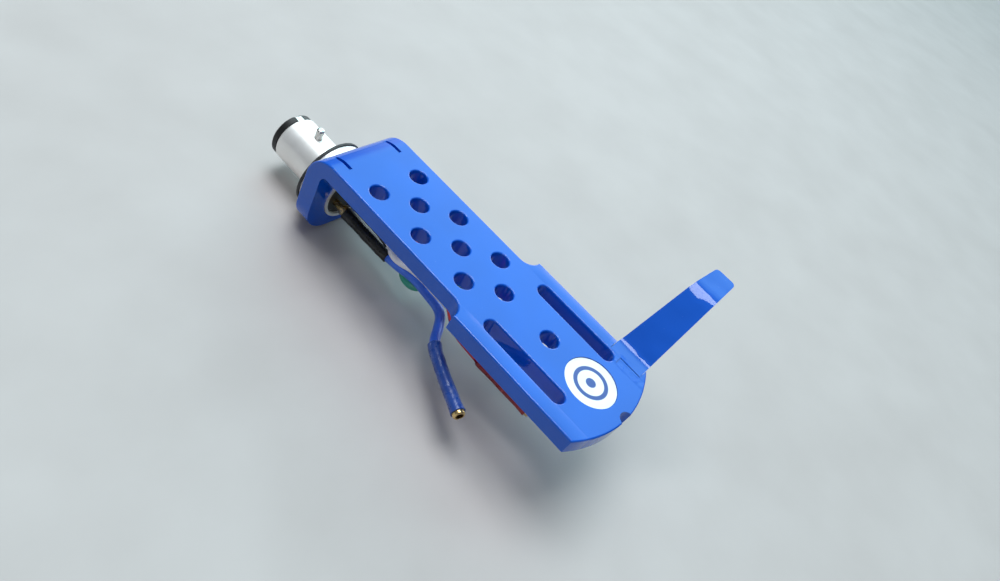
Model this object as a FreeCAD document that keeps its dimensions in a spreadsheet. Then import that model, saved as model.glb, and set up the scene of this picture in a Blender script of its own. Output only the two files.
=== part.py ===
"""Turntable headshell: a perforated cast plate with a bayonet plug, a finger lift and four leads.

Millimetres. The origin is on the plug's axis, in the plane of the gasket's outer face, which
seats against the end of the tonearm. +Y runs along the plug into the tonearm, -Y to the nose,
+X to the finger lift and +Z up.
"""
import FreeCAD, Part
import math
import os

import Sketcher

V = FreeCAD.Vector
doc = FreeCAD.newDocument("headshell")
sheet = doc.addObject("Spreadsheet::Sheet", "Sizes")

# Driving sizes in millimetres, degrees and counts
SIZES = {
    "plate_top": 9.6,            # plug axis up to the plate's top face
    "plate_thickness": 2.7,
    "rear_width": 15.4,
    "front_width": 20.2,
    "front_length": 24.9,        # shoulder to the nose's furthest point
    "nose_radius": 19.5,
    "step_reach": 34.4,          # gasket seat to the shoulder where the plate widens
    "step_radius": 2.2,
    "wall_thickness": 3.0,
    "wall_drop": 5.9,            # plug axis down to the rear wall's lower edge
    "wall_corner": 5.0,
    "bend_radius": 4.6,          # outside of the bend from plate to rear wall
    "inner_radius": 1.2,
    "rim_radius": 0.25,          # soft edges of the painted casting
    "mark_spacing": 10.3,        # between the two crescents cut in the rear bend
    "mark_width": 0.6,
    "mark_radius": 3.0,
    "mark_reach": 5.15,          # gasket seat to the crescents' middle
    "mark_depth": 1.0,           # plate's top face down to a crescent's floor
    "slot_spacing": 12.7,
    "slot_width": 2.4,
    "slot_length": 14.8,
    "slot_setback": 10.4,        # shoulder to the middle of the cartridge slots
    "hole_diameter": 2.9,
    "hole_rows": 8.4,            # between the two outer rows of holes
    "hole_reach": 12.7,          # gasket seat to the first pair of holes
    "pair_margin": 3.5,          # last pair of holes to the shoulder
    "middle_margin": 4.0,        # last middle hole's centre to the disc
    "pair_count": 3,
    "middle_count": 4,
    "disc_diameter": 8.1,
    "disc_thickness": 0.3,
    "disc_sink": 0.15,           # disc face below the plate's face
    "disc_inset": 6.7,           # nose to the disc's centre
    "notch_width": 2.5,
    "notch_depth": 1.1,
    "lift_width": 5.8,
    "lift_tip_width": 3.5,
    "lift_thickness": 0.9,
    "lift_proud": 0.06,          # tongue face above its seat
    "tongue_length": 2.0,
    "seat_depth": 0.25,          # shallow seat round the lift's tongue
    "seat_length": 4.1,          # plate's side in to the seat's end, past the slot
    "seat_corner": 0.8,
    "lift_slope": 41.7,
    "lift_rise_length": 10.9,
    "lift_root_radius": 3.0,
    "lift_tip_radius": 6.6,
    "lift_tip_slope": 11.5,
    "lift_tip_length": 4.0,
    "tube_diameter": 8.0,
    "tube_length": 8.8,          # gasket seat to the metal rear end of the plug
    "tube_wall": 0.6,
    "tube_chamfer": 0.3,
    "sleeve_diameter": 9.2,      # where the plug passes through the rear wall
    "sleeve_bore": 8.2,
    "sleeve_proud": 0.2,
    "flange_diameter": 12.2,
    "flange_thickness": 1.4,
    "gasket_proud": 0.25,        # gasket beyond the flange's rim
    "gasket_thickness": 0.4,
    "cap_inset": 0.1,            # insulating cap inside the plug's outline
    "cap_length": 1.2,
    "face_sink": 0.5,            # front insulator below the sleeve's end
    "face_thickness": 2.2,
    "key_width": 1.1,
    "key_length": 0.7,
    "lug_diameter": 1.3,
    "lug_height": 1.7,
    "lug_reach": 4.3,
    "pin_share": 0.47,           # spacing of the contacts as a share of the plug's bore
    "pin_diameter": 1.1,
    "pin_front": 9.0,            # gasket seat to the front tip of a contact pin
    "pin_proud": 0.35,           # rear contacts beyond the cap
    "clip_diameter": 1.8,
    "clip_length": 6.0,
    "clip_reach": 6.0,           # gasket seat to the near end of a rear clip
    "clip_bare": 1.1,            # clip showing beyond its sleeve
    "clip_depth": 3.6,           # socket in a clip
    "tip_bare": 0.6,             # cartridge clip showing beyond its sleeve
    "tip_lap": 3.2,              # front sleeve over the wire
    "sleeve_wall": 0.2,
    "wire_diameter": 1.3,
    "slip": 0.04,                # radial clearance of pieces that fit in each other
    "wire_slip": 0.08,           # radial clearance of a wire in its sleeve
}


class Size:
    """A length that carries its value and the sheet expression that drives it."""

    def __init__(self, value, text):
        self.value = float(value)
        self.text = text

    def join(self, other, sign, value):
        return Size(value, "(%s %s %s)" % (self.text, sign, size(other).text))

    def __add__(self, other):
        return self.join(other, "+", self.value + size(other).value)

    def __sub__(self, other):
        return self.join(other, "-", self.value - size(other).value)

    def __mul__(self, other):
        return self.join(other, "*", self.value * size(other).value)

    def __truediv__(self, other):
        return self.join(other, "/", self.value / size(other).value)

    def __neg__(self):
        return Size(-self.value, "(0 - %s)" % self.text)

    def root(self):
        return Size(math.sqrt(self.value), "sqrt(%s)" % self.text)

    def sin(self):
        return Size(math.sin(math.radians(self.value)), "sin(%s * 1 deg)" % self.text)

    def cos(self):
        return Size(math.cos(math.radians(self.value)), "cos(%s * 1 deg)" % self.text)


def size(item):
    return item if isinstance(item, Size) else Size(item, repr(float(item)))


class Sheet:
    """The driving sizes by name, each one a Size bound to its cell."""


S = Sheet()
for row, (name, number) in enumerate(SIZES.items(), start=1):
    sheet.set("A%d" % row, name)
    sheet.set("B%d" % row, str(number))
    sheet.setAlias("B%d" % row, name)
    setattr(S, name, Size(number, "Sizes.%s" % name))
doc.recompute()
ZERO = size(0)
HALF = "half circle"

# Places that several pieces share
plate_bottom = S.plate_top - S.plate_thickness
wall_back = -(S.gasket_thickness + S.flange_thickness)
wall_front = wall_back - S.wall_thickness
sleeve_front = wall_front - S.sleeve_proud
half_rear = S.rear_width / 2
half_front = S.front_width / 2
nose_reach = S.step_reach + S.front_length
nose_centre = S.nose_radius - nose_reach
corner_y = nose_centre - (S.nose_radius * S.nose_radius - half_front * half_front).root()
slot_reach = S.step_reach + S.slot_setback
disc_reach = nose_reach - S.disc_inset
hole_pitch = (S.step_reach - S.pair_margin - S.hole_reach) / (S.pair_count - 1)
middle_reach = S.hole_reach + hole_pitch / 2
last_middle = disc_reach - S.disc_diameter / 2 - S.middle_margin
middle_pitch = (last_middle - middle_reach) / (S.middle_count - 1)
tongue_top = S.plate_top - S.seat_depth + S.lift_proud
lift_front = corner_y
lift_back = corner_y + S.lift_width
tube_bore = S.tube_diameter - S.tube_wall * 2
cap_radius = S.tube_diameter / 2 - S.cap_inset
gasket_radius = S.flange_diameter / 2 + S.gasket_proud
pin_spacing = tube_bore * S.pin_share


def bind(item, path, length):
    item.setExpression(path, length.text)


def new_body(name):
    body = doc.addObject("PartDesign::Body", name)
    body.Label = name
    return body


def origin_item(body, role):
    return next(item for item in body.Origin.OriginFeatures if item.Role == role)


def new_sketch(body, name, plane, height=None):
    """A sketch on one of the body's own planes, moved along the plane's normal by a size."""
    sketch = body.newObject("Sketcher::SketchObject", name)
    sketch.AttachmentSupport = [(origin_item(body, plane), "")]
    sketch.MapMode = "FlatFace"
    if height is not None:
        sketch.AttachmentOffset = FreeCAD.Placement(V(0, 0, height.value), FreeCAD.Rotation())
        bind(sketch, ".AttachmentOffset.Base.z", height)
    return sketch


def hold(sketch, kind, geometry, point, length):
    index = sketch.addConstraint(Sketcher.Constraint(kind, -1, 1, geometry, point, length.value))
    bind(sketch, "Constraints[%d]" % index, length)


def arc_through(start, end, radius, left):
    """The arc from start to end that bulges to the left or right of its chord."""
    chord = end - start
    middle = (start + end) * 0.5
    side = V(-chord.y, chord.x, 0).normalize()
    rise = math.sqrt(max(radius * radius - chord.Length ** 2 / 4, 0))
    centre = middle - side * rise if left else middle + side * rise
    first, last = (end, start) if left else (start, end)
    a = math.atan2(first.y - centre.y, first.x - centre.x)
    b = math.atan2(last.y - centre.y, last.x - centre.x)
    return Part.ArcOfCircle(Part.Circle(centre, V(0, 0, 1), radius), a, b)


def draw(sketch, corners):
    """A closed outline. Each corner is (x, y), or (x, y, radius, "left" or "right") where an
    arc that bulges to that side of its chord starts; every corner is held by its sizes. A
    radius of HALF stands for a half circle over a chord along X."""
    points = [V(corner[0].value, corner[1].value, 0) for corner in corners]
    first = len(sketch.Geometry)
    ends = []
    for index, corner in enumerate(corners):
        start = points[index]
        end = points[(index + 1) % len(points)]
        if len(corner) == 4:
            left = corner[3] == "left"
            radius = (end - start).Length / 2 if corner[2] is HALF else corner[2].value
            sketch.addGeometry(arc_through(start, end, radius, left))
            ends.append((2, 1) if left else (1, 2))
        else:
            sketch.addGeometry(Part.LineSegment(start, end))
            ends.append((1, 2))
    for index, corner in enumerate(corners):
        here = first + index
        after = first + (index + 1) % len(corners)
        joint = Sketcher.Constraint("Coincident", here, ends[index][1], after, ends[after - first][0])
        sketch.addConstraint(joint)
    for index, corner in enumerate(corners):
        hold(sketch, "DistanceX", first + index, ends[index][0], corner[0])
        hold(sketch, "DistanceY", first + index, ends[index][0], corner[1])
        if len(corner) == 4 and corner[2] is HALF:
            hold(sketch, "DistanceY", first + index, 3, corner[1])
        elif len(corner) == 4:
            place = sketch.addConstraint(Sketcher.Constraint("Radius", first + index, corner[2].value))
            bind(sketch, "Constraints[%d]" % place, corner[2])


def draw_circle(sketch, x, y, radius):
    index = sketch.addGeometry(Part.Circle(V(x.value, y.value, 0), V(0, 0, 1), radius.value))
    hold(sketch, "DistanceX", index, 3, x)
    hold(sketch, "DistanceY", index, 3, y)
    place = sketch.addConstraint(Sketcher.Constraint("Radius", index, radius.value))
    bind(sketch, "Constraints[%d]" % place, radius)


def pad(body, name, sketch, length, back=False, both=False):
    feature = body.newObject("PartDesign::Pad", name)
    feature.Profile = sketch
    bind(feature, "Length", length)
    feature.Reversed = back
    feature.Midplane = both
    doc.recompute()
    return feature


def pocket(body, name, sketch, depth=None, both=False):
    """A cut along the sketch's back side, or through everything where no depth is given."""
    before = body.Shape.Volume
    feature = body.newObject("PartDesign::Pocket", name)
    feature.Profile = sketch
    if depth is None:
        feature.Type = "ThroughAll"
    else:
        bind(feature, "Length", depth)
    feature.Midplane = both
    doc.recompute()
    if not feature.Shape.Volume < before:
        raise ValueError("%s cuts nothing" % name)
    return feature


def fillet(body, name, base, edges, radius):
    feature = body.newObject("PartDesign::Fillet", name)
    feature.Base = (base, edges)
    bind(feature, "Radius", radius)
    doc.recompute()
    return feature


def row_along_y(body, name, original, pitch, count):
    """Copies of a cut, one pitch apart towards the nose."""
    feature = body.newObject("PartDesign::LinearPattern", name)
    feature.Originals = [original]
    feature.Direction = (origin_item(body, "Y_Axis"), [""])
    feature.Reversed = True
    bind(feature, "Length", pitch * (count - 1))
    bind(feature, "Occurrences", count)
    body.Tip = feature
    doc.recompute()
    return feature


def edge_names(shape, wanted):
    names = []
    for index, edge in enumerate(shape.Edges, start=1):
        if wanted(edge):
            names.append("Edge%d" % index)
    return names


def near(a, b):
    return abs(a - b) < 1e-4


def flat_in_z(edge, z):
    return near(edge.BoundBox.ZMin, z) and near(edge.BoundBox.ZMax, z)


def flat_in_y(edge, y):
    return near(edge.BoundBox.YMin, y) and near(edge.BoundBox.YMax, y)


def turned(body, name, profile):
    """A piece turned about the Y axis. The profile's corners are (distance along Y, radius)."""
    sketch = new_sketch(body, name + "_profile", "YZ_Plane")
    draw(sketch, profile)
    feature = body.newObject("PartDesign::Revolution", name)
    feature.Profile = sketch
    feature.ReferenceAxis = (sketch, ["H_Axis"])
    feature.Angle = 360
    doc.recompute()
    return feature


def plate_outline():
    """The plate from above: narrow behind, a filleted shoulder on each side, an arched nose."""
    shoulder = half_rear + S.step_radius
    arc_start = S.step_radius - S.step_reach
    return [
        (half_rear, wall_back),
        (-half_rear, wall_back),
        (-half_rear, arc_start, S.step_radius, "left"),
        (-shoulder, -S.step_reach),
        (-half_front, -S.step_reach),
        (-half_front, corner_y, S.nose_radius, "right"),
        (half_front, corner_y),
        (half_front, -S.step_reach),
        (shoulder, -S.step_reach, S.step_radius, "left"),
        (half_rear, arc_start),
    ]


def make_casting():
    """The cast shell: plate, bent-down rear wall and every opening in them."""
    body = new_body("headshell_body")
    outline = new_sketch(body, "plate_outline", "XY_Plane", plate_bottom)
    draw(outline, plate_outline())
    pad(body, "plate", outline, S.plate_thickness)

    wall = new_sketch(body, "wall_outline", "XZ_Plane", -wall_back)
    corner = S.wall_corner
    draw(wall, [
        (half_rear, plate_bottom + S.plate_thickness),
        (half_rear, corner - S.wall_drop, corner, "left"),
        (half_rear - corner, -S.wall_drop),
        (corner - half_rear, -S.wall_drop, corner, "left"),
        (-half_rear, corner - S.wall_drop),
        (-half_rear, plate_bottom + S.plate_thickness),
    ])
    draw_circle(wall, ZERO, ZERO, S.sleeve_diameter / 2 + S.slip)
    joined = pad(body, "rear_wall", wall, S.wall_thickness)

    def outer_bend(edge):
        return flat_in_z(edge, S.plate_top.value) and flat_in_y(edge, wall_back.value)

    def inner_bend(edge):
        return flat_in_z(edge, plate_bottom.value) and flat_in_y(edge, wall_front.value)

    bend = fillet(body, "bend", joined, edge_names(joined.Shape, outer_bend), S.bend_radius)
    root = fillet(body, "inner_corner", bend, edge_names(bend.Shape, inner_bend), S.inner_radius)

    def rim(edge):
        box = edge.BoundBox
        flat_end = (wall_back - S.bend_radius).value
        on_top = flat_in_z(edge, S.plate_top.value) and box.YMax < flat_end + 1e-4
        across = near(box.XMin, -half_rear.value) and near(box.XMax, half_rear.value)
        on_back = flat_in_y(edge, wall_back.value) and box.YLength < 1e-3
        bore = on_back and box.XLength < S.sleeve_diameter.value + 1 and near(box.XMin, -box.XMax)
        curve = edge.Curve.TypeId == "Part::GeomCircle"
        bent = curve and near(edge.Curve.Radius, S.bend_radius.value) and box.YLength > 1
        return (on_top and not across) or (on_back and not across and not bore) or bent

    fillet(body, "soft_edges", root, edge_names(root.Shape, rim), S.rim_radius)

    for side, name in ((-1, "near_crescent"), (1, "far_crescent")):
        mark = new_sketch(body, name + "_arc", "YZ_Plane", S.mark_spacing / 2 * side)
        draw_circle(mark, -S.mark_reach, S.plate_top - S.mark_depth + S.mark_radius, S.mark_radius)
        pocket(body, name, mark, S.mark_width, both=True)

    pair = new_sketch(body, "hole_pair", "XY_Plane", S.plate_top)
    for side in (-1, 1):
        draw_circle(pair, S.hole_rows / 2 * side, -S.hole_reach, S.hole_diameter / 2)
    first_pair = pocket(body, "first_pair", pair, S.plate_thickness)
    row_along_y(body, "outer_holes", first_pair, hole_pitch, S.pair_count)

    middle = new_sketch(body, "middle_hole", "XY_Plane", S.plate_top)
    draw_circle(middle, ZERO, -middle_reach, S.hole_diameter / 2)
    first_middle = pocket(body, "first_middle", middle, S.plate_thickness)
    row_along_y(body, "middle_holes", first_middle, middle_pitch, S.middle_count)

    slots = new_sketch(body, "slot_outlines", "XY_Plane", S.plate_top)
    radius = S.slot_width / 2
    run = (S.slot_length - S.slot_width) / 2
    for side in (-1, 1):
        x = S.slot_spacing / 2 * side
        draw(slots, [
            (x + radius, run - slot_reach, HALF, "right"),
            (x - radius, run - slot_reach),
            (x - radius, -(slot_reach + run), HALF, "right"),
            (x + radius, -(slot_reach + run)),
        ])
    pocket(body, "slots", slots, S.plate_thickness)

    notch = new_sketch(body, "sight_notch", "XY_Plane", S.plate_top)
    notch_radius = S.notch_width / 2
    draw_circle(notch, ZERO, -(nose_reach - S.notch_depth + notch_radius), notch_radius)
    cut = pocket(body, "notch", notch, S.plate_thickness)

    def hole_rim(edge):
        if not flat_in_z(edge, S.plate_top.value):
            return False
        if edge.Curve.TypeId == "Part::GeomCircle":
            curve = edge.Curve.Radius
            return near(curve, S.hole_diameter.value / 2) or near(curve, radius.value)
        return near(edge.Length, 2 * run.value)

    fillet(body, "soft_holes", cut, edge_names(cut.Shape, hole_rim), S.rim_radius)

    seat = new_sketch(body, "disc_seat", "XY_Plane", S.plate_top)
    draw_circle(seat, ZERO, -disc_reach, S.disc_diameter / 2 + S.slip)
    pocket(body, "disc_recess", seat, S.disc_thickness + S.disc_sink)

    shallow = new_sketch(body, "lift_seat_outline", "XY_Plane", S.plate_top)
    outside = half_front + S.tongue_length
    inside = half_front - S.tongue_length - S.slip
    deep_end = half_front - S.seat_length
    rear_side = lift_back + S.slip
    front_side = lift_front - S.slip
    past_slot = -(slot_reach + S.slot_length / 2 + S.rim_radius * 2)
    draw(shallow, [
        (outside, rear_side),
        (inside, rear_side),
        (inside, past_slot),
        (deep_end + S.seat_corner, past_slot, S.seat_corner, "right"),
        (deep_end, past_slot - S.seat_corner),
        (deep_end, front_side + S.seat_corner, S.seat_corner, "right"),
        (deep_end + S.seat_corner, front_side),
        (outside, front_side),
    ])
    pocket(body, "lift_seat", shallow, S.seat_depth)

    tongue = new_sketch(body, "tongue_outline", "XY_Plane", S.plate_top)
    draw(tongue, [(inside, front_side), (outside, front_side), (outside, rear_side), (inside, rear_side)])
    pocket(body, "tongue_pocket", tongue, S.plate_top - tongue_top + S.lift_thickness)
    return body


def lift_line():
    """The lift's upper face from the side, as corners that the lower face repeats one
    thickness below: flat tongue, upward curve, straight rise, outward curve, short tip."""
    top = tongue_top
    start = half_front + S.slip
    low = S.lift_root_radius - S.lift_thickness
    bend_x = start + low * S.lift_slope.sin()
    bend_z = top + low - low * S.lift_slope.cos()
    rise_x = bend_x + S.lift_rise_length * S.lift_slope.cos()
    rise_z = bend_z + S.lift_rise_length * S.lift_slope.sin()
    sweep_x = S.lift_tip_radius * (S.lift_slope.sin() - S.lift_tip_slope.sin())
    sweep_z = S.lift_tip_radius * (S.lift_tip_slope.cos() - S.lift_slope.cos())
    tip_x = rise_x + sweep_x
    tip_z = rise_z + sweep_z
    end_x = tip_x + S.lift_tip_length * S.lift_tip_slope.cos()
    end_z = tip_z + S.lift_tip_length * S.lift_tip_slope.sin()
    return top, start, (bend_x, bend_z), (rise_x, rise_z), (tip_x, tip_z), (end_x, end_z)


def below(point, slope):
    """The point one lift thickness under a point of the upper face."""
    return (point[0] + S.lift_thickness * slope.sin(), point[1] - S.lift_thickness * slope.cos())


def make_lift():
    """The finger lift: a strip bent up from a tongue let into the plate. Its front edge stands
    over the nose's corner and its rear edge tapers to the tip."""
    body = new_body("finger_lift")
    top, start, bend, rise, tip, end = lift_line()
    profile = new_sketch(body, "lift_profile", "XZ_Plane", -(lift_front + lift_back) / 2)
    steep = S.lift_slope
    easy = S.lift_tip_slope
    draw(profile, [
        (start - S.tongue_length, top),
        (start - S.tongue_length, top - S.lift_thickness),
        (start, top - S.lift_thickness, S.lift_root_radius, "right"),
        below(bend, steep),
        below(rise, steep) + (S.lift_tip_radius - S.lift_thickness, "left"),
        below(tip, easy),
        below(end, easy),
        end,
        tip + (S.lift_tip_radius, "right"),
        rise,
        bend + (S.lift_root_radius - S.lift_thickness, "left"),
        (start, top),
    ])
    pad(body, "strip", profile, S.lift_width, both=True)

    trim = new_sketch(body, "lift_plan", "XY_Plane", end[1] + S.lift_thickness)
    far = end[0] + S.lift_thickness
    draw(trim, [(start, lift_back), (far, lift_back), (far, lift_front + S.lift_tip_width)])
    cut = pocket(body, "taper", trim)

    def tip_corner(edge):
        box = edge.BoundBox
        upright = box.YLength < 0.1 and box.XLength < 0.2 and box.ZLength > 0.5
        return upright and box.XMin > end[0].value - 0.1

    fillet(body, "tip_corners", cut, edge_names(cut.Shape, tip_corner), S.lift_tip_width / 5)
    return body


def make_plug():
    """The bayonet tube with its flange, and the sleeve that passes through the rear wall."""
    body = new_body("bayonet_tube")
    face_back = sleeve_front + S.face_sink + S.face_thickness
    turned(body, "tube", [
        (sleeve_front, S.sleeve_bore / 2),
        (face_back, S.sleeve_bore / 2),
        (face_back, tube_bore / 2),
        (S.tube_length, tube_bore / 2),
        (S.tube_length, S.tube_diameter / 2 - S.tube_chamfer),
        (S.tube_length - S.tube_chamfer, S.tube_diameter / 2),
        (-S.gasket_thickness, S.tube_diameter / 2),
        (-S.gasket_thickness, S.flange_diameter / 2),
        (wall_back, S.flange_diameter / 2),
        (wall_back, S.sleeve_diameter / 2),
        (sleeve_front, S.sleeve_diameter / 2),
    ])
    hole = new_sketch(body, "lug_hole", "XY_Plane", S.tube_diameter / 2)
    draw_circle(hole, ZERO, S.lug_reach, S.lug_diameter / 2 + S.slip)
    pocket(body, "lug_bore", hole, (S.tube_diameter - tube_bore) / 2 + S.tube_chamfer)

    key = new_sketch(body, "key_outline", "XY_Plane", (tube_bore + S.tube_diameter) / 4)
    half = S.key_width / 2
    base = S.tube_length - S.tube_chamfer
    draw(key, [
        (-half, base),
        (half, base),
        (half, S.tube_length + S.key_length),
        (-half, S.tube_length + S.key_length),
    ])
    pad(body, "key", key, (S.tube_diameter - tube_bore) / 4 - S.tube_chamfer / 4)
    return body


def make_lug():
    body = new_body("locating_pin")
    foot = tube_bore / 2 + S.slip
    outline = new_sketch(body, "lug_outline", "XY_Plane", foot)
    draw_circle(outline, ZERO, S.lug_reach, S.lug_diameter / 2)
    top = S.tube_diameter / 2 + S.lug_height
    stud = pad(body, "lug", outline, top - foot)
    crown = edge_names(stud.Shape, lambda edge: flat_in_z(edge, top.value))
    fillet(body, "crown", stud, crown, S.lug_diameter / 4)
    return body


def make_gasket():
    body = new_body("rubber_gasket")
    inner = S.tube_diameter / 2 + S.slip
    outer = gasket_radius
    turned(body, "ring", [
        (ZERO, inner),
        (ZERO, outer),
        (-S.gasket_thickness, outer),
        (-S.gasket_thickness, inner),
    ])
    return body


def pin_holes(body, name, height):
    """Four through holes for the contact pins, cut from the piece's rear face."""
    sketch = new_sketch(body, name + "_plan", "XZ_Plane", height)
    half = pin_spacing / 2
    for x in (-1, 1):
        for z in (-1, 1):
            draw_circle(sketch, half * x, half * z, S.pin_diameter / 2 + S.slip)
    pocket(body, name, sketch)


def make_front_insulator():
    body = new_body("front_insulator")
    front = sleeve_front + S.face_sink
    outer = S.sleeve_bore / 2 - S.slip
    turned(body, "washer", [
        (front, ZERO),
        (front + S.face_thickness, ZERO),
        (front + S.face_thickness, outer),
        (front, outer),
    ])
    pin_holes(body, "washer_holes", -front)
    return body


def make_rear_insulator():
    body = new_body("rear_insulator")
    start = sleeve_front + S.face_sink + S.face_thickness
    stem = tube_bore / 2 - S.slip
    cap = cap_radius
    end = S.tube_length + S.cap_length
    turned(body, "core", [
        (start, ZERO),
        (end, ZERO),
        (end, cap - S.tube_chamfer),
        (end - S.tube_chamfer, cap),
        (S.tube_length, cap),
        (S.tube_length, stem),
        (start, stem),
    ])
    pin_holes(body, "core_holes", -start)
    slot = new_sketch(body, "key_slot", "XY_Plane", cap + S.slip)
    half = S.key_width / 2 + S.slip
    draw(slot, [
        (-half, S.tube_length - S.slip),
        (half, S.tube_length - S.slip),
        (half, end + S.slip),
        (-half, end + S.slip),
    ])
    pocket(body, "key_slot_cut", slot, cap + S.slip - tube_bore / 2)
    return body


def place(body, base, direction):
    """Puts a piece that was turned about +Y at its base, with its axis along a direction."""
    body.Placement = FreeCAD.Placement(base, FreeCAD.Rotation(V(0, 1, 0), direction))


def make_contact_pin(number, colour):
    body = new_body("contact_pin_%d" % number)
    radius = S.pin_diameter / 2
    rear = S.tube_length + S.cap_length + S.pin_proud
    turned(body, "contact_%d" % number, [
        (-S.pin_front, ZERO),
        (rear, ZERO),
        (rear, radius / 2),
        (rear - radius / 2, radius),
        (radius / 2 - S.pin_front, radius),
        (-S.pin_front, radius / 2),
    ])
    place(body, contact_place(colour, 0), V(0, 1, 0))
    return body


def clip_profile():
    """A crimped socket: open at its far end, solid where it grips the wire."""
    radius = S.clip_diameter / 2
    bore = S.pin_diameter / 2 + S.slip
    chamfer = S.clip_diameter / 12
    return [
        (ZERO, ZERO),
        (ZERO, radius - chamfer),
        (chamfer, radius),
        (S.clip_length - chamfer, radius),
        (S.clip_length, radius - chamfer),
        (S.clip_length, bore),
        (S.clip_length - S.clip_depth, bore),
        (S.clip_length - S.clip_depth, ZERO),
    ]


def sleeve_profile(on_clip, on_wire):
    """A shrunk sleeve, wide over the clip and drawn in over the wire. Zero is where the wire
    meets the clip, and the clip lies towards +Y."""
    wide = S.clip_diameter / 2 + S.slip
    tight = S.wire_diameter / 2 + S.wire_slip
    wall = S.sleeve_wall
    neck = S.clip_diameter / 2
    return [
        (-on_wire, tight),
        (-on_wire, tight + wall),
        (-(neck * 2), tight + wall),
        (-neck, wide + wall),
        (on_clip, wide + wall),
        (on_clip, wide),
        (-S.slip, wide),
        (-S.slip, tight),
    ]


def make_end(name, base, direction, on_clip, on_wire):
    """The clip and the sleeve at one end of a lead."""
    clip = new_body(name + "_clip")
    turned(clip, name + "_socket", clip_profile())
    place(clip, base, direction)
    cover = new_body(name + "_sleeve")
    turned(cover, name + "_cover", sleeve_profile(on_clip, on_wire))
    place(cover, base, direction)


# Each lead's corner in the square of four contacts, as signs along X and Z
CORNERS = {"blue": (-1, -1), "white": (-1, 1), "green": (1, -1), "red": (1, 1)}
# How far each wire runs straight on from its rear clip, and how much of that its sleeve covers
STRAIGHTS = {"blue": 5.9, "white": 5.6, "green": 4.8, "red": 5.4}
REAR_LAPS = {"blue": 5.2, "white": 4.8, "green": 3.9, "red": 5.0}
# The rest of each route to the cartridge clip, as corner points that the arcs round off
ROUTES = {
    "blue": [(-0.9, -24.6, -1.4), (-2.3, -30.2, -0.9), (-7.9, -33.2, -0.3), (-10.7, -38.7, 0.1)],
    "white": [(-2.9, -24.0, 2.1), (-2.0, -29.0, 1.0), (0.3, -33.8, 0.2), (1.2, -39.4, 0.0),
              (1.0, -44.6, -0.2)],
    "green": [(0.4, -21.3, -0.2), (-3.2, -22.2, 0.1), (-4.1, -24.0, 0.1), (-3.2, -25.8, 0.2),
              (0.3, -27.0, 0.3), (4.4, -30.0, 0.4), (5.6, -35.2, 0.5), (5.4, -40.2, 0.5)],
    "red": [(2.0, -23.6, 1.9), (0.6, -29.4, 2.2), (-3.2, -33.4, 2.1), (-4.7, -38.6, 1.4),
            (-4.4, -43.8, 1.2)],
}
ARC_SHARE = 0.45             # part of the shorter run that an arc takes up


def wire_path(points, label):
    """Straight runs joined by tangent arcs, each as large as its two runs allow."""
    edges = []
    start = points[0]
    for before, corner, after in zip(points, points[1:], points[2:]):
        arrive = (corner - before).normalize()
        leave = (after - corner).normalize()
        turn = arrive.getAngle(leave)
        reach = ARC_SHARE * min((corner - before).Length, (after - corner).Length)
        radius = reach / math.tan(turn / 2)
        print("%s wire: turn %.0f degrees, radius %.1f mm" % (label, math.degrees(turn), radius))
        first = corner - arrive * reach
        last = corner + leave * reach
        inward = (leave - arrive).normalize()
        middle = corner + inward * (radius / math.cos(turn / 2) - radius)
        edges.append(Part.LineSegment(start, first).toShape())
        edges.append(Part.Arc(first, middle, last).toShape())
        start = last
    edges.append(Part.LineSegment(start, points[-1]).toShape())
    return Part.Wire(edges)


def contact_place(colour, reach):
    """The point on a contact's axis at a distance in front of the gasket seat."""
    side, level = CORNERS[colour]
    half = (pin_spacing / 2).value
    return V(side * half, -reach, level * half)


def make_wire(colour):
    start = (S.clip_reach + S.clip_length).value
    points = [contact_place(colour, start), contact_place(colour, start + STRAIGHTS[colour])]
    points += [V(*point) for point in ROUTES[colour]]
    path = wire_path(points, colour)
    radius = (S.wire_diameter / 2).value
    section = Part.Wire([Part.Circle(points[0], points[1] - points[0], radius).toShape()])
    solid = path.makePipeShell([section], True, False)
    expected = math.pi * radius ** 2 * path.Length
    if abs(solid.Volume - expected) > 0.01 * expected:
        raise ValueError("%s wire: volume %.3f, not %.3f" % (colour, solid.Volume, expected))
    print("%s wire: %.1f mm long" % (colour, path.Length))
    wire = doc.addObject("Part::Feature", colour + "_wire")
    wire.Label = colour + "_wire"
    wire.Shape = solid
    return points


def make_lead(colour):
    """One lead: wire, rear clip on its contact pin, black sleeve, cartridge clip, sleeve."""
    points = make_wire(colour)
    rear = V(0, 1, 0)
    front = (points[-1] - points[-2]).normalize()
    make_end("rear_" + colour, points[0], rear, S.clip_length - S.clip_bare, size(REAR_LAPS[colour]))
    make_end("front_" + colour, points[-1], front, S.clip_length - S.tip_bare, S.tip_lap)


def make_disc():
    disc = doc.addObject("Part::Cylinder", "badge_disc")
    disc.Label = "badge_disc"
    bind(disc, "Radius", S.disc_diameter / 2)
    bind(disc, "Height", S.disc_thickness)
    bind(disc, ".Placement.Base.y", -disc_reach)
    bind(disc, ".Placement.Base.z", S.plate_top - S.disc_thickness - S.disc_sink)
    return disc


make_casting()
make_lift()
make_plug()
make_lug()
make_gasket()
make_front_insulator()
make_rear_insulator()
for count, wire_colour in enumerate(ROUTES, start=1):
    make_contact_pin(count, wire_colour)
    make_lead(wire_colour)
make_disc()
doc.recompute()

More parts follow.
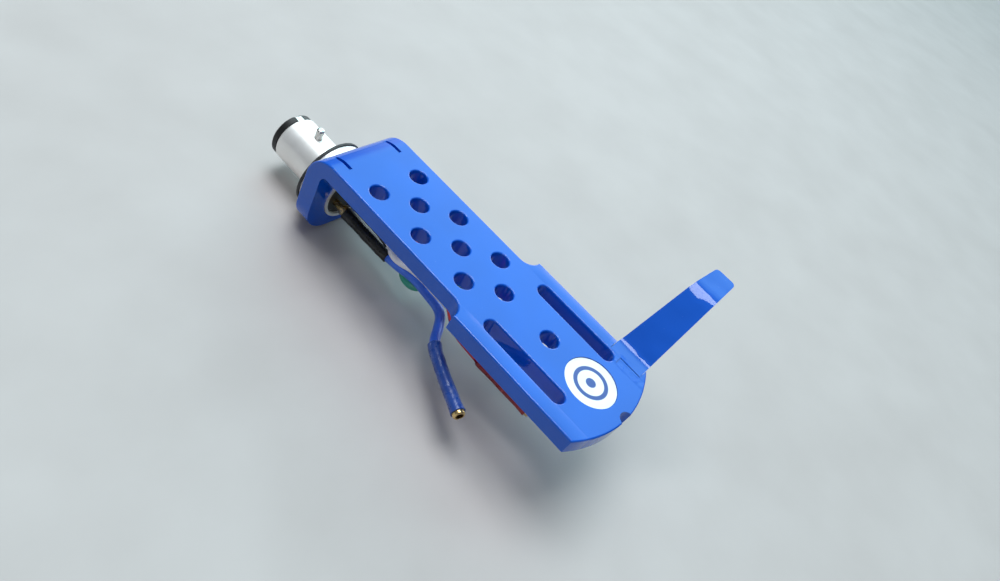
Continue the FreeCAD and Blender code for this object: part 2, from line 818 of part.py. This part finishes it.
os.makedirs("parts", exist_ok=True)
for item in doc.Objects:
    if "Invalid" in item.State or "Error" in item.State:
        raise ValueError("%s is in state %s" % (item.Label, item.State))
for item in doc.Objects:
    kept = item.TypeId in ("PartDesign::Body", "Part::Feature", "Part::Cylinder")
    if not kept:
        continue
    shape = item.Shape
    if shape.isNull() or not shape.isValid() or len(shape.Solids) != 1:
        raise ValueError("%s has no single valid solid" % item.Label)
    shape.exportStep("parts/%s.step" % item.Label)
    print("%s: volume %.2f mm3" % (item.Label, shape.Volume))
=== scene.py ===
"""The finished look of the turntable headshell on a plain pale floor, in metres."""
import math
import bpy
from mathutils import Matrix, Vector, noise


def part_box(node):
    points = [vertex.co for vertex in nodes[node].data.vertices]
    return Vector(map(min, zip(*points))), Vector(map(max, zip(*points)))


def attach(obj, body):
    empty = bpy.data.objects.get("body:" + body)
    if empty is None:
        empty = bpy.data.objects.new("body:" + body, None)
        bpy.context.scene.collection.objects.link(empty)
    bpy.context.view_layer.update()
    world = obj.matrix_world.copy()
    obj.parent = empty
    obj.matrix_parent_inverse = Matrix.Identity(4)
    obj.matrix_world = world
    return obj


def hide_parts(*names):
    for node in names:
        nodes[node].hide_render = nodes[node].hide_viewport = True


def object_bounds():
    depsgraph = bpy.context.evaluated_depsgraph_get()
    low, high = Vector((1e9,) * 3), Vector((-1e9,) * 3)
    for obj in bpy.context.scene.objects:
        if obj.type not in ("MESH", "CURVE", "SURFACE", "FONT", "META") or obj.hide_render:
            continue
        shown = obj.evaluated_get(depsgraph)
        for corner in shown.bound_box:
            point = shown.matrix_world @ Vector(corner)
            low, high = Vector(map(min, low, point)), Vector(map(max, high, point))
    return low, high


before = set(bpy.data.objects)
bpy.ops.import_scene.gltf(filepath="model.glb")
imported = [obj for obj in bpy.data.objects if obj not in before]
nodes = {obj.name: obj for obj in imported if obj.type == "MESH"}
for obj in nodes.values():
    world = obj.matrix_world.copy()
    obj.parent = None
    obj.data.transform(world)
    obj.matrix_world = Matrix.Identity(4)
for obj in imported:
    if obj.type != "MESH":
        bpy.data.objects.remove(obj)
cad_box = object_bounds()
scene = bpy.context.scene
MM = 0.001


# Node helpers
def new_material(name):
    made = bpy.data.materials.new(name)
    made.use_nodes = True
    tree = made.node_tree
    return made, tree, tree.nodes["Principled BSDF"]


def add(tree, kind, **settings):
    node = tree.nodes.new(kind)
    for key, value in settings.items():
        if key in node.inputs:
            node.inputs[key].default_value = value
        else:
            setattr(node, key, value)
    return node


def feed(tree, socket, value):
    """Link a socket to another one, or set it to a number or a colour."""
    if hasattr(value, "is_linked"):
        tree.links.new(value, socket)
    else:
        socket.default_value = (*value, 1) if isinstance(value, tuple) else value


def place_texture(tree, stretch=(1, 1, 1)):
    """The piece's own coordinates, stretched so that a pattern can run along an axis."""
    where = tree.nodes.new("ShaderNodeTexCoord")
    mapping = tree.nodes.new("ShaderNodeMapping")
    mapping.inputs["Scale"].default_value = stretch
    tree.links.new(where.outputs["Object"], mapping.inputs["Vector"])
    return mapping.outputs["Vector"]


def noise_at(tree, vector, scale, detail=3.0, rough=0.5):
    node = add(tree, "ShaderNodeTexNoise", Scale=scale, Detail=detail, Roughness=rough)
    tree.links.new(vector, node.inputs["Vector"])
    return node.outputs["Fac"]


def span(tree, source, low, high, start=0.3, end=0.7, smooth=False):
    """The low value up to the start, the high one from the end on, and a slope between."""
    node = tree.nodes.new("ShaderNodeMapRange")
    if smooth:
        node.interpolation_type = "SMOOTHSTEP"
    limits = {"From Min": start, "From Max": end, "To Min": low, "To Max": high}
    for key, value in limits.items():
        node.inputs[key].default_value = value
    tree.links.new(source, node.inputs["Value"])
    return node.outputs["Result"]


def smooth_step(tree, source, start, end):
    return span(tree, source, 0.0, 1.0, start, end, smooth=True)


def blend_colours(tree, factor, first, second):
    node = tree.nodes.new("ShaderNodeMix")
    node.data_type = "RGBA"
    feed(tree, node.inputs[0], factor)
    feed(tree, node.inputs[6], first)
    feed(tree, node.inputs[7], second)
    return node.outputs[2]


def bump(tree, height, distance, before=None):
    node = add(tree, "ShaderNodeBump", Strength=1.0, Distance=distance)
    tree.links.new(height, node.inputs["Height"])
    if before is not None:
        tree.links.new(before, node.inputs["Normal"])
    return node.outputs["Normal"]


def reckon(tree, kind, first, second):
    """One step of arithmetic on sockets or numbers."""
    node = tree.nodes.new("ShaderNodeMath")
    node.operation = kind
    for socket, value in zip(node.inputs, (first, second)):
        feed(tree, socket, value)
    return node.outputs["Value"]


# Places on the plate, in metres
STRIP_SIDES = (0.00755, 0.0101)     # the slot's outer side and the plate's side
SHOULDER_RUN = (-0.033, -0.037)     # where the strips' crown begins
SEAT_SIDE = (0.0060, 0.0068)        # inner end of the lift's seat
SEAT_BACK = (-0.0498, -0.0508)      # rear side of the lift's seat
CROWN_HEIGHT = 0.00009
POOL_HEIGHT = 0.00016


# Materials
def crowned(tree, vector, before):
    """The paint's crown on the two strips beside the slots, and the pooled paint round the
    lift's root."""
    parts = tree.nodes.new("ShaderNodeSeparateXYZ")
    tree.links.new(vector, parts.inputs[0])
    x, y = parts.outputs["X"], parts.outputs["Y"]
    across = span(tree, reckon(tree, "ABSOLUTE", x, 0.0), -1.0, 1.0, *STRIP_SIDES)
    arch = reckon(tree, "SUBTRACT", 1.0, reckon(tree, "MULTIPLY", across, across))
    crown = reckon(tree, "MULTIPLY", arch, smooth_step(tree, y, *SHOULDER_RUN))
    strips = bump(tree, crown, CROWN_HEIGHT, before)
    in_seat = smooth_step(tree, x, *SEAT_SIDE)
    near_lift = reckon(tree, "MULTIPLY", in_seat, smooth_step(tree, y, *SEAT_BACK))
    pooled = reckon(tree, "MULTIPLY", near_lift, noise_at(tree, vector, scale=900, detail=2))
    return bump(tree, pooled, POOL_HEIGHT, strips)


DUST = (0.2, 0.36, 0.85)
DRAWN = (1, 0.1, 1)                 # draws the lift's ripples out along Y
RIPPLE_HEIGHT = 0.000025
PEEL_HEIGHT = 0.0000025


def paint(name, light, dark, wave, flat=False):
    """Thick gloss paint: slow waves, fine orange peel and faint dust under a clear coat."""
    made, tree, shader = new_material(name)
    vector = place_texture(tree)
    slow = noise_at(tree, vector, scale=90, detail=2)
    shade = blend_colours(tree, span(tree, slow, 0, 1), dark, light)
    specks = noise_at(tree, vector, scale=2600, detail=2, rough=0.7)
    dust = span(tree, specks, 0, 0.35, start=0.72, end=0.8)
    tree.links.new(blend_colours(tree, dust, shade, DUST), shader.inputs["Base Color"])
    shine = span(tree, noise_at(tree, vector, scale=400), 0.2, 0.32)
    tree.links.new(shine, shader.inputs["Roughness"])
    rolled = bump(tree, noise_at(tree, vector, scale=180, detail=1), wave)
    if flat:
        rolled = crowned(tree, vector, rolled)
    else:
        ripples = noise_at(tree, place_texture(tree, DRAWN), scale=800, detail=2)
        rolled = bump(tree, ripples, RIPPLE_HEIGHT, rolled)
    peel = bump(tree, noise_at(tree, vector, scale=1500, detail=2), PEEL_HEIGHT, rolled)
    tree.links.new(peel, shader.inputs["Normal"])
    tree.links.new(peel, shader.inputs["Coat Normal"])
    shader.inputs["Specular IOR Level"].default_value = 0.0
    shader.inputs["Coat Weight"].default_value = 1.0
    shader.inputs["Coat Roughness"].default_value = 0.05
    return made


def metal(name, light, dark, rough, stretch, groove, metallic=1.0):
    """Plated metal with fine turning marks along one axis and a little tarnish."""
    made, tree, shader = new_material(name)
    vector = place_texture(tree)
    marks = noise_at(tree, place_texture(tree, stretch), scale=1500)
    shade = span(tree, noise_at(tree, vector, scale=250), 0, 1)
    tree.links.new(blend_colours(tree, shade, dark, light), shader.inputs["Base Color"])
    tree.links.new(span(tree, marks, rough * 0.9, rough * 1.1), shader.inputs["Roughness"])
    tree.links.new(bump(tree, marks, groove), shader.inputs["Normal"])
    shader.inputs["Metallic"].default_value = metallic
    return made


def dull(name, light, dark, rough, grain, depth, coat=0.0):
    """Moulded plastic, rubber or insulation with grain and patchy shine."""
    made, tree, shader = new_material(name)
    vector = place_texture(tree)
    patches = span(tree, noise_at(tree, vector, scale=350), 0, 1)
    tree.links.new(blend_colours(tree, patches, dark, light), shader.inputs["Base Color"])
    shine = span(tree, noise_at(tree, vector, scale=900), rough * 0.8, rough * 1.2)
    tree.links.new(shine, shader.inputs["Roughness"])
    tree.links.new(bump(tree, noise_at(tree, vector, grain), depth), shader.inputs["Normal"])
    shader.inputs["Coat Weight"].default_value = coat
    shader.inputs["Coat Roughness"].default_value = 0.2
    return made


FOLD_HEIGHT = 0.00009


def shrink(name, light, dark, scuff, rough=0.32):
    """Shrunk sleeve: glossy film with small folds and pale scuffs."""
    made, tree, shader = new_material(name)
    vector = place_texture(tree)
    folds = noise_at(tree, vector, scale=1100, rough=0.6)
    patches = span(tree, noise_at(tree, vector, scale=420, detail=2), 0, 1)
    base = blend_colours(tree, patches, dark, light)
    worn = noise_at(tree, vector, scale=900, detail=4, rough=0.7)
    marks = span(tree, worn, 0, 0.6, start=0.6, end=0.72)
    tree.links.new(blend_colours(tree, marks, base, scuff), shader.inputs["Base Color"])
    tree.links.new(span(tree, folds, rough * 0.6, rough * 1.5), shader.inputs["Roughness"])
    tree.links.new(bump(tree, folds, FOLD_HEIGHT), shader.inputs["Normal"])
    return made


BLUE_LIGHT = (0.002, 0.1, 0.58)
BLUE_DARK = (0.001, 0.085, 0.5)
body_paint = paint("body_paint", BLUE_LIGHT, BLUE_DARK, wave=0.000025, flat=True)
lift_paint = paint("lift_paint", BLUE_LIGHT, BLUE_DARK, wave=0.00035)
nickel = metal("satin_nickel", (0.93, 0.9, 0.87), (0.86, 0.83, 0.8), rough=0.42,
               stretch=(0.05, 1, 0.05), groove=0.0000004, metallic=0.6)
pin_nickel = metal("pin_nickel", (0.82, 0.8, 0.77), (0.66, 0.64, 0.61), rough=0.2,
                   stretch=(1, 1, 0.1), groove=0.000001)
gold = metal("gold_plate", (0.86, 0.64, 0.28), (0.66, 0.46, 0.2), rough=0.27,
             stretch=(1, 1, 1), groove=0.000003)
black = dull("black_plastic", (0.006, 0.006, 0.006), (0.003, 0.003, 0.003), rough=0.5,
             grain=2500, depth=0.000006)
rubber = dull("gasket_rubber", (0.03, 0.029, 0.028), (0.016, 0.016, 0.016), rough=0.6,
              grain=1800, depth=0.00001)
black_film = shrink("black_shrink", (0.02, 0.019, 0.018), (0.008, 0.008, 0.008),
                    scuff=(0.07, 0.065, 0.06))

# Light, dark and scuffed colour of each lead
WIRES = {
    "blue": ((0.05, 0.19, 0.86), (0.035, 0.13, 0.7), (0.3, 0.36, 0.75)),
    "white": ((0.86, 0.84, 0.88), (0.76, 0.74, 0.8), (0.9, 0.9, 0.92)),
    "green": ((0.04, 0.42, 0.28), (0.03, 0.32, 0.2), (0.16, 0.5, 0.36)),
    "red": ((0.7, 0.02, 0.03), (0.5, 0.012, 0.02), (0.8, 0.14, 0.14)),
}


def dim(colour, share):
    return tuple(share * part for part in colour)


disc_low, disc_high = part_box("badge_disc")
DISC_PLACE = (disc_low + disc_high) / 2
MARK_REACH = 0.005                  # from the disc's centre, where a share of 1 lies
MARK_EDGES = ((0.17, 0), (0.4, 0), (0.42, 1), (0.53, 1), (0.55, 0))
MARK_BLUE = (0.03, 0.07, 0.3)


def enamel():
    """White enamel with a plain ring and dot in dark blue."""
    made, tree, shader = new_material("white_enamel")
    vector = place_texture(tree)
    centre = add(tree, "ShaderNodeVectorMath", operation="SUBTRACT")
    centre.inputs[1].default_value = (0, DISC_PLACE.y, DISC_PLACE.z)
    tree.links.new(vector, centre.inputs[0])
    away = add(tree, "ShaderNodeVectorMath", operation="LENGTH")
    tree.links.new(centre.outputs["Vector"], away.inputs[0])
    share = span(tree, away.outputs["Value"], 0.0, 1.0, start=0.0, end=MARK_REACH)
    rings = tree.nodes.new("ShaderNodeValToRGB")
    steps = rings.color_ramp
    for element, spot in zip(steps.elements, (0.0, 0.15)):
        element.position = spot
        element.color = (1, 1, 1, 1)
    for spot, level in MARK_EDGES:
        steps.elements.new(spot).color = (level, level, level, 1)
    tree.links.new(share, rings.inputs["Fac"])
    patches = span(tree, noise_at(tree, vector, scale=500), 0, 1)
    white = blend_colours(tree, patches, (0.78, 0.8, 0.82), (0.86, 0.87, 0.88))
    marked = blend_colours(tree, rings.outputs["Color"], white, MARK_BLUE)
    tree.links.new(marked, shader.inputs["Base Color"])
    shine = span(tree, noise_at(tree, vector, scale=700), 0.28, 0.4)
    tree.links.new(shine, shader.inputs["Roughness"])
    grain = bump(tree, noise_at(tree, vector, scale=1500), 0.000002)
    tree.links.new(grain, shader.inputs["Normal"])
    return made


def dress(names, finish_of):
    for name in names:
        piece = nodes[name]
        piece.data.materials.clear()
        piece.data.materials.append(finish_of)


dress(["headshell_body"], body_paint)
dress(["finger_lift"], lift_paint)
dress(["bayonet_tube"], nickel)
dress(["locating_pin"], pin_nickel)
dress(["rubber_gasket"], rubber)
dress(["front_insulator", "rear_insulator"], black)
dress(["contact_pin_%d" % count for count in range(1, 5)], gold)
dress(["%s_%s_clip" % (end, colour) for end in ("rear", "front") for colour in WIRES],
      gold)
dress(["badge_disc"], enamel())

# Leads, all in millimetres: the routes' points run from rear clip to cartridge clip
WIRE_RADIUS = 0.8
ROUTES = {
    "blue": [(-1.598, -12.0, -1.598), (-1.598, -17.9, -1.598), (-0.4, -22.3, -1.6),
             (-0.9, -25.6, -1.4), (-1.5, -29.4, -1.1), (-4.4, -31.6, -0.7),
             (-7.5, -33.2, -0.3), (-9.79, -36.92, -0.03), (-10.7, -38.7, 0.1)],
    "white": [(-1.598, -12.0, 1.598), (-1.598, -16.9, 1.598), (-4.2, -19.5, 2.3),
              (-2.2, -23.4, 2.2), (-1.4, -28.8, 0.8), (0.3, -33.8, 0.1),
              (1.2, -39.4, 0.0), (1.0, -44.6, -0.2)],
    "green": [(1.598, -12.0, -1.598), (1.598, -16.8, -1.598), (0.6, -19.4, -2.8),
              (-0.5, -20.9, -3.3), (-0.2, -23.2, -3.3), (2.6, -23.9, -2.8),
              (4.6, -27.5, -0.8), (5.4, -31.5, 0.4), (5.6, -35.2, 0.5), (5.4, -40.2, 0.5)],
    "red": [(1.598, -12.0, 1.598), (1.598, -17.4, 1.598), (2.0, -22.8, 1.9),
            (0.8, -27.0, 2.5), (-2.2, -30.2, 2.5), (-4.8, -34.2, 2.0), (-4.6, -37.6, 1.5),
            (-4.55, -41.0, 1.3), (-4.4, -43.8, 1.2)],
}
REAR_LAPS = {"blue": 5.2, "white": 4.8, "green": 3.9, "red": 5.0}       # sleeve over the wire
FRONT_LAPS = {"blue": 6.0, "white": 5.2, "green": 4.6, "red": 4.2}
REAR_COVER = 4.9                    # sleeve over the clip
FRONT_COVER = 5.4
FILM_STEP = 0.16                    # between two rings of a sleeve's mesh
FILM_SIDES = 28
FILM_LIP = 0.16                     # wall at a sleeve's end, as a share of its radius
CURVE_STEPS = 24


def link(piece):
    scene.collection.objects.link(piece)
    return piece


def route_curve(name, points, radius):
    data = bpy.data.curves.new(name, "CURVE")
    data.dimensions = "3D"
    data.resolution_u = CURVE_STEPS
    spline = data.splines.new("NURBS")
    spline.points.add(len(points) - 1)
    for spot, point in zip(spline.points, points):
        spot.co = (*(Vector(point) * MM), 1)
    spline.order_u = 3
    spline.use_endpoint_u = True
    data.bevel_depth = radius * MM
    data.bevel_resolution = 6
    data.use_fill_caps = radius > 0
    return link(bpy.data.objects.new(name, data))


def points_of(points):
    """Points along a route's own spline, in metres."""
    bare = route_curve("bare_route", points, 0)
    flat = bpy.data.meshes.new_from_object(bare)
    found = [vertex.co.copy() for vertex in flat.vertices]
    bpy.data.meshes.remove(flat)
    bpy.data.curves.remove(bare.data)
    return found


def length_of(path):
    return sum((after - before).length for before, after in zip(path, path[1:]))


def cut_to(path, reach):
    """The start of a path, as long as the reach in millimetres."""
    kept = [path[0]]
    left = reach * MM
    for before, after in zip(path, path[1:]):
        step = (after - before).length
        if step >= left:
            kept.append(before.lerp(after, left / step))
            break
        kept.append(after)
        left -= step
    return kept


def even(path, step):
    """The path again with points one small step apart."""
    spread = [path[0]]
    carry = 0.0
    for before, after in zip(path, path[1:]):
        length = (after - before).length
        here = step - carry
        while here < length:
            spread.append(before.lerp(after, here / length))
            here += step
        carry = length - (here - step)
    spread.append(path[-1])
    return spread


def sweep(name, path, radius_at, sides, lip):
    """A tube wall round a path. radius_at(distance, share, angle) gives metres; both ends turn
    in by the lip so that the wall shows its thickness."""
    rings = []
    forward = (path[1] - path[0]).normalized()
    side = forward.orthogonal().normalized()
    gone = 0.0
    total = length_of(path)
    for index, spot in enumerate(path):
        if 0 < index < len(path) - 1:
            ahead = (path[index + 1] - path[index - 1]).normalized()
        else:
            ahead = (path[-1] - path[-2]).normalized() if index else forward
        side = (side - ahead * side.dot(ahead)).normalized()
        up = ahead.cross(side)
        if index:
            gone += (spot - path[index - 1]).length
        ring = []
        for count in range(sides):
            angle = 2 * math.pi * count / sides
            reach = radius_at(gone, gone / total, angle)
            ring.append(spot + (side * math.cos(angle) + up * math.sin(angle)) * reach)
        rings.append(ring)
    for end, step in ((0, 1), (-1, -1)):
        spot = path[end]
        inward = [spot + (corner - spot) * (1 - lip) for corner in rings[end]]
        deep = [corner + (path[end + step] - spot) * 2 for corner in inward]
        rings = [deep, inward] + rings if end == 0 else rings + [inward, deep]
    vertices = [corner for ring in rings for corner in ring]
    faces = []
    for row in range(len(rings) - 1):
        for count in range(sides):
            after = (count + 1) % sides
            a = row * sides
            faces.append((a + count, a + after, a + sides + after, a + sides + count))
    mesh = bpy.data.meshes.new(name)
    mesh.from_pydata(vertices, [], faces)
    mesh.polygons.foreach_set("use_smooth", [True] * len(faces))
    mesh.update()
    return link(bpy.data.objects.new(name, mesh))


def film_radius(seed, bulge, flare):
    """The outside of a shrunk sleeve: snug in the middle, wider at its clip and looser where it
    ends on the wire, with small folds all over."""
    def radius_at(gone, share, angle):
        clip_end = max(0.0, 1 - share / 0.25) ** 2
        wire_end = max(0.0, (share - 0.7) / 0.3) ** 2
        base = 1.0 + 0.1 * clip_end + flare * wire_end
        spot = Vector((math.cos(angle) * 1.3, math.sin(angle) * 1.3, gone / MM * 0.9 + seed * 7))
        fold = noise.noise(spot) * bulge
        fine = noise.noise(spot * 2.3) * bulge * 0.4
        return (base + fold + fine) * MM
    return radius_at


def film(name, path, seed, flare):
    radius_at = film_radius(seed, 0.05, flare)
    return sweep(name, even(path, FILM_STEP * MM), radius_at, FILM_SIDES, FILM_LIP)


def lead(colour):
    light, dark, scuff = WIRES[colour]
    route = ROUTES[colour]
    wire = route_curve("lead_" + colour, route, WIRE_RADIUS)
    wire.data.materials.append(dull(colour + "_insulation", light, dark, rough=0.34, grain=1500,
                                    depth=0.000004, coat=0.3))
    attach(wire, "root")
    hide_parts(colour + "_wire")
    path = points_of(route)
    seed = len(colour)

    rear = [path[0] + Vector((0, REAR_COVER, 0)) * MM] + cut_to(path, REAR_LAPS[colour])
    sleeve = film("rear_film_" + colour, rear, seed, flare=0.05)
    sleeve.data.materials.append(black_film)
    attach(sleeve, "root")
    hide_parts("rear_%s_sleeve" % colour)

    tail = path[::-1]
    ahead = (tail[0] - tail[1]).normalized()
    front = [tail[0] + ahead * FRONT_COVER * MM] + cut_to(tail, FRONT_LAPS[colour])
    cover = film("front_film_" + colour, front, seed + 3, flare=0.08)
    cover.data.materials.append(shrink(colour + "_shrink", dim(light, 0.4), dim(dark, 0.36), scuff))
    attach(cover, "root")
    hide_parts("front_%s_sleeve" % colour)


for colour in ROUTES:
    lead(colour)

# Floor, level with the gasket's lowest point
FLOOR_REACH = 3
floor_mesh = bpy.data.meshes.new("floor")
floor_level = cad_box[0].z
corners = [(x * FLOOR_REACH, y * FLOOR_REACH, floor_level)
           for x, y in ((-1, -1), (1, -1), (1, 1), (-1, 1))]
floor_mesh.from_pydata(corners, [], [(0, 1, 2, 3)])
floor = link(bpy.data.objects.new("floor", floor_mesh))
made, tree, shader = new_material("floor")
grain = span(tree, noise_at(tree, place_texture(tree), scale=60, detail=4), 0, 1)
pale_grey = blend_colours(tree, grain, (0.46, 0.415, 0.4), (0.5, 0.455, 0.44))
tree.links.new(pale_grey, shader.inputs["Base Color"])
shader.inputs["Roughness"].default_value = 0.7
floor_mesh.materials.append(made)

# Light
world = bpy.data.worlds.new("studio")
scene.world = world
world.use_nodes = True
tree = world.node_tree
sky = tree.nodes.new("ShaderNodeTexCoord").outputs["Generated"]


def toward(direction, start, end):
    """How far the sky turns towards a direction, from 0 at the start cosine to 1 at the end."""
    turned = add(tree, "ShaderNodeVectorMath", operation="DOT_PRODUCT")
    turned.inputs[1].default_value = Vector(direction).normalized()
    tree.links.new(sky, turned.inputs[0])
    return smooth_step(tree, turned.outputs["Value"], start, end)


ZENITH = (0.3, 0.1, 0.95)
MIRRORED = (0.69, 0.22, 0.69)       # what the plate's top mirrors to the camera
HORIZON = (0.93, 0.3, 0.12)
plain = blend_colours(tree, toward(ZENITH, -0.1, 1.0), (0.1, 0.11, 0.125), (0.32, 0.34, 0.37))
lit = blend_colours(tree, toward(MIRRORED, 0.8, 1.0), plain, (1.35, 2.5, 2.7))
glow = blend_colours(tree, toward(HORIZON, 0.82, 1.0), lit, (3.0, 3.5, 3.7))
tree.links.new(glow, tree.nodes["Background"].inputs["Color"])

LAMP_COLOUR = (0.88, 0.96, 1.0)


def softbox(name, spot, aim, width, height, power):
    data = bpy.data.lights.new(name, "AREA")
    data.shape = "RECTANGLE"
    data.size = width
    data.size_y = height
    data.energy = power
    data.color = LAMP_COLOUR
    lamp = link(bpy.data.objects.new(name, data))
    lamp.location = spot
    lamp.rotation_mode = "QUATERNION"
    lamp.rotation_quaternion = (Vector(aim) - Vector(spot)).to_track_quat("-Z", "Y")


MIDDLE = (0, -0.03, 0)
softbox("overhead", (0.06, 0.13, 0.6), MIDDLE, width=0.32, height=0.42, power=3.6)
softbox("side_fill", (-0.5, -0.2, 0.22), MIDDLE, width=0.25, height=0.25, power=0.35)

# The camera solved from the photograph: place in millimetres, the rest in pixels
CAMERA_PLACE = (-74.126, -56.430, 79.339)
PHOTO_WIDTH = 1000
PHOTO_MIDDLE = (500, 290.5)
FOCAL = 739.43
AXIS = (469.36, 284.06)             # where the optical axis meets the photograph
SENSOR = 36
right = Vector((0.62803, -0.67052, 0.39494))
down = Vector((-0.36266, -0.70122, -0.61382))
ahead = Vector((0.68852, 0.24227, -0.68355))
data = bpy.data.cameras.new("photo_view")
camera = link(bpy.data.objects.new("photo_view", data))
turn = Matrix((right, -down, -ahead)).transposed()
camera.matrix_world = Matrix.Translation(Vector(CAMERA_PLACE) * MM) @ turn.to_4x4()
data.sensor_width = SENSOR
data.lens = FOCAL / PHOTO_WIDTH * SENSOR
data.shift_x = (PHOTO_MIDDLE[0] - AXIS[0]) / PHOTO_WIDTH
data.shift_y = -(PHOTO_MIDDLE[1] - AXIS[1]) / PHOTO_WIDTH
data.clip_start = 0.002
data.clip_end = 20
scene.camera = camera
scene.view_settings.view_transform = "Standard"
scene.view_settings.look = "None"
